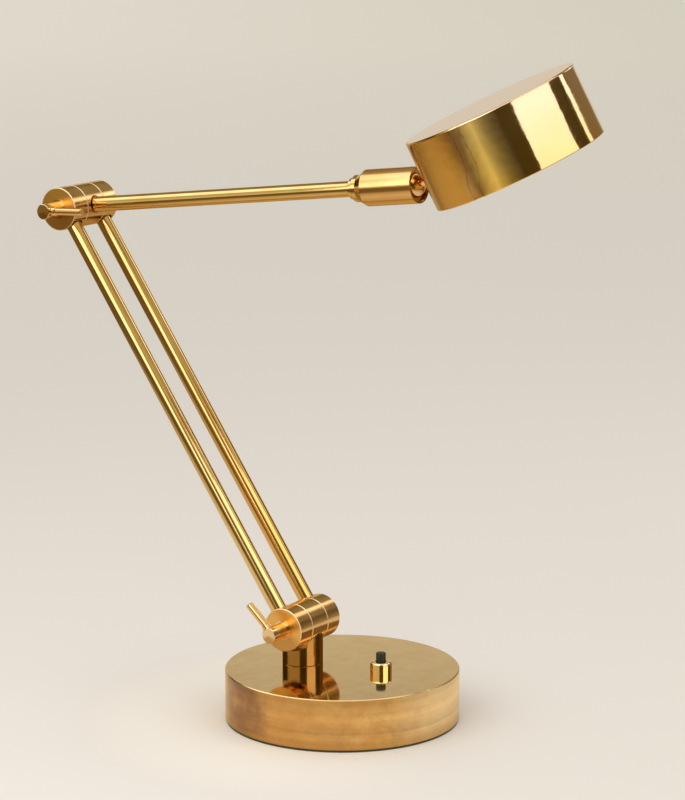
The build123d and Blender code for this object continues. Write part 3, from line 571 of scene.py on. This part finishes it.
def shade_finish():
    """The shade: polished brass outside, aged toward the stud with tide marks, and white lacquer inside."""
    finish, tree, shader = new_finish("shade_brass_and_lacquer", Specular_Tint=shade_grazing_tint)
    place = axis_place(tree, shade_centre, shade_up)
    height = split(tree, place)["Z"]
    radius, outward = radial_place(tree, place)
    within = maths(tree, "LESS_THAN", radius, shade_radius - shade_wall / 2)
    below = maths(tree, "LESS_THAN", height, shade_top_height - shade_wall / 2)
    inside = maths(tree, "MULTIPLY", within, below)
    on_side = maths(tree, "GREATER_THAN", radius, shade_radius - shade_wall)
    rings = place_group(tree, lathe_lines, {"Vector": place, "Density": 2000.0})
    tone = toned(tree, place, polished_tones, scale=22.0, warmth=0.6, staining=0.12)
    # Painted highlight: the tone warms toward the drum's bottom and pales toward its top
    low = stretch(tree, height, *low_tone_span, to_high=low_tone_share)
    tone = blend_colours(tree, low, tone, shade_low)
    high = stretch(tree, height, *high_tone_span, to_high=high_tone_share)
    tone = blend_colours(tree, maths(tree, "MULTIPLY", high, on_side), tone, shade_high)
    toward = facing(tree, outward, in_own_axes(shade_up, -stud_dir))
    noise = cloud(tree, place, scale=34.0, detail=5.0, roughness=0.6, distortion=0.6)
    edge = maths(tree, "ADD", toward, swing(tree, noise, tide_wobble))
    aged = maths(tree, "MULTIPLY", stretch(tree, edge, *aged_edge), on_side)
    tone = blend_colours(tree, aged, tone, shade_aged)
    from_tide = maths(tree, "PINGPONG", maths(tree, "SUBTRACT", edge, tide_start), tide_spacing)
    tide = maths(tree, "MULTIPLY", stretch(tree, from_tide, *tide_line, to_high=tide_share), on_side)
    near_edge = stretch(tree, maths(tree, "ABSOLUTE", edge), *tide_reach)
    tone = blend_colours(tree, maths(tree, "MULTIPLY", tide, near_edge), tone, tide_brown)
    fleck = stretch(tree, cloud(tree, place, scale=900.0, detail=2.0), *even_noise)
    lacquer = blend_colours(tree, fleck, lacquer_cream, lacquer_white)
    tree.links.new(blend_colours(tree, inside, tone, lacquer), shader.inputs["Base Color"])
    tree.links.new(maths(tree, "SUBTRACT", 1.0, inside), shader.inputs["Metallic"])
    polish = dulled(
        tree,
        shade_gloss,
        (place_group(tree, smudges, {"Vector": place, "Scale": 45.0})["Smudge"], shade_smudge_dulling),
        (place_group(tree, hairlines, {"Vector": place})["Marks"], shade_mark_dulling),
        (aged, shade_aged_dulling),
    )
    tree.links.new(blend_numbers(tree, inside, polish, lacquer_gloss), shader.inputs["Roughness"])
    below_top = stretch(tree, height, *(shade_top_height - depth for depth in ripple_depths))
    ripple = swing(tree, cloud(tree, place, scale=55.0, detail=2.0), 1.0)
    ripple = maths(tree, "MULTIPLY", ripple, below_top)
    ripple = maths(tree, "MULTIPLY_ADD", rings["Lines"], ripple_ring_share, ripple)
    add_bump(tree, shader, ripple, ripple_height)
    return finish


# Felt: its pile and where it is worn, its nap and how far it stands up
felt_deep = (0.012, 0.020, 0.005, 1)
felt_green = (0.055, 0.065, 0.02, 1)
felt_worn = (0.07, 0.07, 0.04, 1)
pile_noise = (0.3, 0.75)
felt_worn_noise, felt_worn_share = (0.55, 0.8), 0.5
nap_noise, nap_roughness = (0.2, 0.8), (0.85, 1.0)
nap_height = 0.0002


def felt_finish():
    """The pad: green felt with a fine pile, paler where it is worn."""
    finish, tree, shader = new_finish("green_felt", Sheen_Weight=0.05, Sheen_Roughness=0.6)
    place = object_place(tree)
    fibre = cloud(tree, place, scale=1400.0, detail=4.0, roughness=0.7)
    worn = stretch(tree, cloud(tree, place, scale=70.0), *felt_worn_noise, to_high=felt_worn_share)
    pile = blend_colours(tree, stretch(tree, fibre, *pile_noise), felt_deep, felt_green)
    pile = blend_colours(tree, worn, pile, felt_worn)
    tree.links.new(pile, shader.inputs["Base Color"])
    tree.links.new(stretch(tree, fibre, *nap_noise, *nap_roughness), shader.inputs["Roughness"])
    add_bump(tree, shader, fibre, nap_height)
    return finish


# Moulded and painted pieces: how their tone varies, and the height of their grain
grain_share = 0.5
drift_share = 0.5
grain_height = 0.00002


def moulded_finish(name, dark, light, rubbed_gloss, gloss, scale):
    """Moulded or painted matter: fine grain, slow drift of tone and rubbed patches."""
    finish, tree, shader = new_finish(name)
    place = object_place(tree)
    grain = cloud(tree, place, scale, roughness=0.6)
    drift = cloud(tree, place, scale=45.0)
    share = maths(tree, "MULTIPLY_ADD", drift, drift_share, maths(tree, "MULTIPLY", grain, grain_share))
    tone = blend_colours(tree, stretch(tree, share, *even_noise), dark, light)
    tree.links.new(tone, shader.inputs["Base Color"])
    rub = place_group(tree, smudges, {"Vector": place, "Scale": 90.0})["Smudge"]
    tree.links.new(stretch(tree, rub, 0, 1, gloss, rubbed_gloss), shader.inputs["Roughness"])
    add_bump(tree, shader, grain, grain_height)
    return finish


# Steel: its two tones, and the gloss and height of its rings
steel_grey = (0.50, 0.50, 0.50, 1)
steel_warm = (0.62, 0.60, 0.55, 1)
steel_ring_noise, steel_gloss = (0.2, 0.8), (0.22, 0.42)
steel_groove = 0.000006


def steel_finish(name, origin, direction):
    """Steel turned about an axis, with fine rings."""
    finish, tree, shader = new_finish(name, 1.0)
    place = axis_place(tree, origin, direction)
    rings = place_group(tree, lathe_lines, {"Vector": place, "Density": 3200.0})
    drift = stretch(tree, cloud(tree, place, scale=60.0, detail=4.0), *even_noise)
    tree.links.new(blend_colours(tree, drift, steel_grey, steel_warm), shader.inputs["Base Color"])
    gloss = stretch(tree, rings["Lines"], *steel_ring_noise, *steel_gloss)
    tree.links.new(gloss, shader.inputs["Roughness"])
    add_bump(tree, shader, rings["Lines"], steel_groove)
    return finish


# Bulb: two whites of its opal glass, and its gloss
opal_cream = (0.90, 0.89, 0.85, 1)
opal_white = (0.95, 0.94, 0.91, 1)
opal_gloss = (0.12, 0.2)


def opal_finish():
    """The bulb's opal glass."""
    finish, tree, shader = new_finish("opal_glass", Transmission_Weight=0.25, IOR=1.5)
    drift = cloud(tree, object_place(tree), scale=80.0)
    tree.links.new(blend_colours(tree, drift, opal_cream, opal_white), shader.inputs["Base Color"])
    tree.links.new(stretch(tree, drift, *even_noise, *opal_gloss), shader.inputs["Roughness"])
    return finish


def dress(finish, *names):
    """Gives CAD nodes their finish."""
    for name in names:
        slots = nodes[name].data.materials
        slots.clear()
        slots.append(finish)


# Polish of the turned pieces: gloss, and the height of the grooves
barrel_polish = {"gloss": 0.17, "groove": 0.000006, "density": 1400.0}
mirror_polish = {"gloss": 0.07, "groove": 0.0000002}
post_polish = {"gloss": 0.13, "groove": 0.000001}
clamp_polish = {"gloss": 0.16, "groove": 0.000002}
sleeve_polish = {"gloss": 0.15, "groove": 0.000001}
# Post: heading of the side toward the camera, the one side that its painted shade leaves bright
post_bright_side_deg = -42.0

# Moulded and painted pieces: dark and light tone, gloss where rubbed and elsewhere, scale of the grain
moulded_pieces = (
    (
        ("black_plastic", (0.006, 0.006, 0.006, 1), (0.018, 0.017, 0.016, 1), 0.28, 0.5, 700.0),
        ("switch_button", "switch_body", "cord_inlet", "friction_cup"),
    ),
    (
        ("painted_iron", (0.02, 0.02, 0.022, 1), (0.06, 0.06, 0.062, 1), 0.4, 0.7, 300.0),
        ("base_weight",),
    ),
    (
        ("fibre", (0.10, 0.03, 0.018, 1), (0.22, 0.08, 0.045, 1), 0.5, 0.8, 700.0),
        ("lower_friction_washers", "upper_friction_washers", "pivot_washer"),
    ),
    (
        ("lead_sheath", (0.60, 0.58, 0.53, 1), (0.75, 0.73, 0.68, 1), 0.4, 0.6, 700.0),
        ("base_lead", "post_lead", "lower_arm_lead", "upper_arm_lead", "stud_lead"),
    ),
    (
        ("white_holder", (0.70, 0.69, 0.65, 1), (0.80, 0.79, 0.76, 1), 0.15, 0.35, 700.0),
        ("lampholder",),
    ),
)

# Steel pieces: finish, a point on its axis and the axis, and the nodes that have it
steel_pieces = (
    (("base_steel", base_centre, upright), ("base_cover", "cover_screws", "pivot_nut")),
    (("spring_steel", ball_centre, upper_arm_dir), ("disc_springs",)),
    (("stud_steel", ball_centre, stud_dir), ("inner_saddle", "shade_nut", "bulb_cap")),
)


def dress_arms():
    """Brass of the hinge barrels, the clamp screws and their rods, and the arm tubes."""
    for level, hinge, knuckle in (
        ("lower", lower_hinge, "post_knuckle"),
        ("upper", upper_hinge, "upper_knuckle"),
    ):
        # Barrels and clamp screws: painted shade browns their undersides
        barrel = turned_brass(
            level + "_barrel_brass",
            hinge,
            hinge_line,
            **barrel_polish,
            tones=arm_tones,
            barrel=True,
            underside=brown_brass,
        )
        dress(barrel, knuckle, level + "_front_disc", level + "_rear_disc")
        clamp = turned_brass(
            level + "_clamp_brass", hinge, hinge_line, **clamp_polish, underside=brown_brass
        )
        dress(clamp, level + "_clamp_washer", level + "_clamp_screw")
        rod = level + "_clamp_rod"
        dress(turned_brass(rod + "_brass", tube_line(rod), hinge_line, **mirror_polish, tones=arm_tones), rod)
    for name, lower_end in (("front_arm_tube", None), ("rear_arm_tube", rear_tube_red)):
        tube = turned_brass(
            name + "_brass",
            tube_line(name),
            lower_arm_dir,
            **mirror_polish,
            tones=tube_tones,
            lower_end=lower_end,
        )
        dress(tube, name)
    # Upper arm tube and collar: painted shade darkens and reddens their undersides
    upper_arm = turned_brass(
        "upper_arm_brass",
        ball_centre,
        upper_arm_dir,
        **mirror_polish,
        tones=tube_tones,
        underside=underside_shade_orange,
    )
    dress(upper_arm, "upper_arm_tube", "neck_collar")


def dress_all():
    """Gives every CAD node its finish."""
    dress(base_finish(), "base_shell")
    dress(shade_finish(), "shade")
    post = turned_brass(
        "post_brass",
        post_foot,
        upright,
        **post_polish,
        tones=post_tones,
        grazing=post_grazing_tint,
        bright_side_deg=post_bright_side_deg,
    )
    dress(post, "post", "pivot_bush")
    dress_arms()
    # Sleeve: painted shade darkens and reddens its underside
    sleeve = turned_brass(
        "sleeve_brass",
        ball_centre,
        upper_arm_dir,
        **sleeve_polish,
        tones=arm_tones,
        underside=underside_shade_orange,
    )
    dress(sleeve, "ball_sleeve", "retaining_ring")
    stud = turned_brass("stud_brass", ball_centre, stud_dir, **mirror_polish, tones=stud_tones)
    dress(stud, "ball_stud", "outer_saddle")
    switch = turned_brass("switch_brass", switch_foot, upright, **mirror_polish, tones=switch_tones)
    dress(switch, "switch_bush")
    dress(felt_finish(), "felt_pad")
    for values, names in moulded_pieces:
        dress(moulded_finish(*values), *names)
    dress(opal_finish(), "bulb_glass")
    for values, names in steel_pieces:
        dress(steel_finish(*values), *names)


dress_all()

# Studio: the side of the camera and its right, and what the lights point at
camera_side = Vector((sin(radians(camera_turn_deg[2])), -cos(radians(camera_turn_deg[2])), 0))
camera_right = upright.cross(camera_side)
aim_point = Vector((0, 0, 0.22))

# Paper floor: its tones, painted lighter further back and on the left where the light falls unevenly, and the
# painted pool of light that the brass throws on it near the base
paper_near_left = (0.75, 0.71, 0.655, 1)
paper_near_right = (0.715, 0.675, 0.615, 1)
paper_bounce = (0.95, 0.885, 0.76, 1)
paper_middle = (0.765, 0.72, 0.66, 1)
paper_far_left = (0.90, 0.865, 0.765, 1)
paper_far_right = (0.81, 0.77, 0.665, 1)
paper_size = 24.0
paper_roughness = 0.95
paper_sheen = 0.1
paper_grain_share = 0.04

# Paper floor: where a tone begins and is full, to the front, to the right or away from the lamp
middle_front, middle_share = (0.2, -1.0), 0.96
far_front = (-1.0, -5.0)
near_right = (-0.2, 0.2)
far_right = (-0.8, 0.8)
bounce_away = (0.17, 0.09)
bounce_right, bounce_share = (0.06, -0.06), 0.55

# Paper floor as the brass mirrors it: its tones, and where they begin and are full; painted shade seen only
# in reflections, darker and warmer away from the lamp and beyond the lit paper
paper_mirrored = (0.52, 0.43, 0.255, 1)
paper_beyond = (0.16, 0.115, 0.05, 1)
paper_beyond_left = (0.22, 0.145, 0.03, 1)
mirrored_away = (0.3, 0.5)
beyond_away = (0.55, 0.75)
dark_away = (1.0, 2.6)
beyond_right = (-0.8, -1.6)
mirrored_front = (-0.5, -0.8)
paper_front = (-1.5, -3.0)

# Glow on the floor that the shade mirrors: it rises along X to a peak, then falls off
glow_colour = (0.80, 0.75, 0.28, 1)
glow_place = (0.337, -1.371, 0.0)
glow_turn_deg = -52.1
glow_half_width = 0.35
glow_edges = (1.2, 0.6)
glow_start = -0.13
glow_peak = 0.24
glow_decay = 3.2


def floor_glow(tree, place):
    """Share of the glow at a place on the floor."""
    along = split(tree, place)["X"]
    rise = stretch(tree, along, glow_start, glow_peak)
    past_peak = maths(tree, "MAXIMUM", maths(tree, "SUBTRACT", along, glow_peak), 0.0)
    glow = maths(tree, "DIVIDE", rise, maths(tree, "MULTIPLY_ADD", past_peak, glow_decay, 1.0))
    from_glow = put(
        tree,
        "ShaderNodeMapping",
        {
            "Vector": place,
            "Location": glow_place,
            "Rotation": (0, 0, radians(glow_turn_deg)),
            "Scale": (1.0, glow_half_width, 1.0),
        },
        vector_type="TEXTURE",
    ).outputs[0]
    sides = stretch(tree, maths(tree, "ABSOLUTE", split(tree, from_glow)["Y"]), *glow_edges)
    return maths(tree, "MULTIPLY", glow, sides)


def lay_floor():
    """A sheet of pale paper under the lamp, with the tones that the brass mirrors."""
    bpy.ops.object.select_all(action="DESELECT")
    bpy.ops.mesh.primitive_plane_add(size=paper_size)
    floor = bpy.context.object
    floor.name = "paper_floor"
    finish, tree, shader = new_finish("paper", Roughness=paper_roughness, Specular_IOR_Level=paper_sheen)
    place = object_place(tree)
    front = vector_maths(tree, "DOT_PRODUCT", place, camera_side)
    right = vector_maths(tree, "DOT_PRODUCT", place, camera_right)
    away = vector_maths(tree, "LENGTH", place)
    grain = cloud(tree, place, scale=260.0)
    # Painted light: the paper is lighter on the left, and lighter further back
    near = blend_colours(tree, stretch(tree, right, *near_right), paper_near_left, paper_near_right)
    far = blend_colours(tree, stretch(tree, right, *far_right), paper_far_left, paper_far_right)
    share = stretch(tree, front, *middle_front, to_high=middle_share)
    share = maths(tree, "MULTIPLY_ADD", grain, paper_grain_share, share)
    paper = blend_colours(tree, share, near, paper_middle)
    paper = blend_colours(tree, stretch(tree, front, *far_front), paper, far)
    # Painted light: a pale pool beside the base on its left, lifting its shadow
    bounce = stretch(tree, right, *bounce_right, to_high=bounce_share)
    bounce = maths(tree, "MULTIPLY", stretch(tree, away, *bounce_away), bounce)
    paper = blend_colours(tree, bounce, paper, paper_bounce)
    # Painted shade in reflections: the floor beyond the lit paper darkens with distance from the lamp
    beyond = blend_colours(tree, stretch(tree, away, *dark_away), paper_beyond, dark_studio)
    beyond = blend_colours(tree, stretch(tree, right, *beyond_right), beyond, paper_beyond_left)
    beyond = blend_colours(tree, floor_glow(tree, place), beyond, glow_colour)
    seen = blend_colours(tree, stretch(tree, away, *mirrored_away), paper, paper_mirrored)
    seen = blend_colours(tree, stretch(tree, away, *beyond_away), seen, beyond)
    seen = blend_colours(tree, stretch(tree, front, *mirrored_front), seen, paper_mirrored)
    seen = blend_colours(tree, stretch(tree, front, *paper_front), seen, paper)
    glossy = put(tree, "ShaderNodeLightPath").outputs["Is Glossy Ray"]
    tree.links.new(blend_colours(tree, glossy, paper, seen), shader.inputs["Base Color"])
    floor.data.materials.append(finish)


# Surroundings: soft light on all sides, the backdrop, and what the brass mirrors
soft_light = (0.82, 0.805, 0.78, 1)
backdrop_colour = (0.715, 0.67, 0.60, 1)
dark_studio = (0.07, 0.052, 0.010, 1)
dim_side = (0.24, 0.185, 0.10, 1)
dim_height = (0.32, 0.275, 0.18, 1)
dim_front = (0.60, 0.52, 0.32, 1)
bright_overhead = (1.1, 1.06, 0.99, 1)
left_glow = (0.6, 0.56, 0.38, 1)
low_left_glow = (0.78, 0.72, 0.50, 1)
far_glow = (1.8, 1.74, 1.65, 1)
dim_height_deg = (20, 36)
overhead_deg = (48, 55)

# Mirrored patches: azimuths, elevations and softness in degrees, and colour
mirrored_patches = (
    ((58, 100), (-20, 30), 6, dim_side),
    ((18, 58), (-20, 9), 4, dim_side),
    ((100, 156), (-30, 18.5), 5, backdrop_colour),
    ((-60, 32), (34, 52), 4, dim_front),
    ((-150, -74), (8, 50), 6, left_glow),
    ((-150, -117), (-5, 14), 4, low_left_glow),
    ((178, 220), (32, 56), 4, far_glow),
)

# Softboxes left, right and behind, and a strip light: azimuths and elevations, radiance, distance
lamp_colour = (1.0, 0.975, 0.94)
softboxes = (
    ("right_softbox", (-32, 20), (8, 43), 1.56, 1.8),
    ("left_softbox", (-126, -74), (12, 55), 1.7, 1.0),
    ("rear_softbox", (64, 84), (27, 37), 1.8, 1.1),
    ("rear_strip", (46, 53.5), (18, 36), 1.6, 1.8),
)


def softbox(name, azimuth_deg, elevation_deg, radiance, distance):
    """A plain rectangular light, placed by the span of directions that it covers from the lamp."""
    spans = (azimuth_deg, elevation_deg)
    width, height = (2 * distance * tan(radians(high - low) / 2) for low, high in spans)
    toward = heading(*((low + high) / 2 for low, high in spans))
    light = bpy.data.lights.new(name, "AREA")
    light.shape = "RECTANGLE"
    light.size = width
    light.size_y = height
    light.energy = radiance * pi * width * height
    light.color = lamp_colour
    holder = bpy.data.objects.new(name, light)
    bpy.context.scene.collection.objects.link(holder)
    holder.location = aim_point + toward * distance
    holder.rotation_euler = axis_turn(toward).to_euler()
    holder.visible_camera = False


def span(tree, azimuth, elevation, azimuth_deg, elevation_deg, soft_deg):
    """A soft-edged patch of directions, between two azimuths and two elevations."""
    middle = radians(sum(azimuth_deg) / 2)
    half = radians(azimuth_deg[1] - azimuth_deg[0]) / 2
    soft = radians(soft_deg)
    turned = maths(tree, "WRAP", maths(tree, "SUBTRACT", azimuth, middle), pi, -pi)
    across = stretch(tree, maths(tree, "ABSOLUTE", turned), half + soft, half - soft)
    low, high = (radians(v) for v in elevation_deg)
    upward = stretch(tree, elevation, low - soft, low + soft)
    downward = stretch(tree, elevation, high + soft, high - soft)
    return maths(tree, "MULTIPLY", across, maths(tree, "MULTIPLY", upward, downward))


def light_studio():
    """Softboxes, and surroundings that differ for plain light, for mirrors and for the camera."""
    for values in softboxes:
        softbox(*values)
    world = bpy.data.worlds.new("studio")
    bpy.context.scene.world = world
    world.use_nodes = True
    tree = world.node_tree
    backdrop = next(n for n in tree.nodes if n.type == "BACKGROUND")
    way = split(tree, put(tree, "ShaderNodeTexCoord").outputs["Generated"])
    azimuth = maths(tree, "ARCTAN2", way["Y"], way["X"])
    elevation = maths(tree, "ARCSINE", way["Z"])
    high = stretch(tree, elevation, *(radians(v) for v in dim_height_deg))
    seen = blend_colours(tree, high, dark_studio, dim_height)
    for *extent, patch_colour in mirrored_patches:
        seen = blend_colours(tree, span(tree, azimuth, elevation, *extent), seen, patch_colour)
    overhead = stretch(tree, elevation, *(radians(v) for v in overhead_deg))
    seen = blend_colours(tree, overhead, seen, bright_overhead)
    rays = put(tree, "ShaderNodeLightPath").outputs
    sharp = maths(tree, "MAXIMUM", rays["Is Glossy Ray"], rays["Is Transmission Ray"])
    colour = blend_colours(tree, sharp, soft_light, seen)
    colour = blend_colours(tree, rays["Is Camera Ray"], colour, backdrop_colour)
    tree.links.new(colour, backdrop.inputs["Color"])


def set_camera():
    """The camera, at its place and turn."""
    data = bpy.data.cameras.new("camera")
    data.lens = camera_lens_mm
    data.clip_end = camera_clip_end
    camera = bpy.data.objects.new("camera", data)
    bpy.context.scene.collection.objects.link(camera)
    camera.location = camera_place
    camera.rotation_euler = [radians(v) for v in camera_turn_deg]
    bpy.context.scene.camera = camera


lay_floor()
light_studio()
set_camera()
bpy.context.scene.view_settings.view_transform = "Standard"
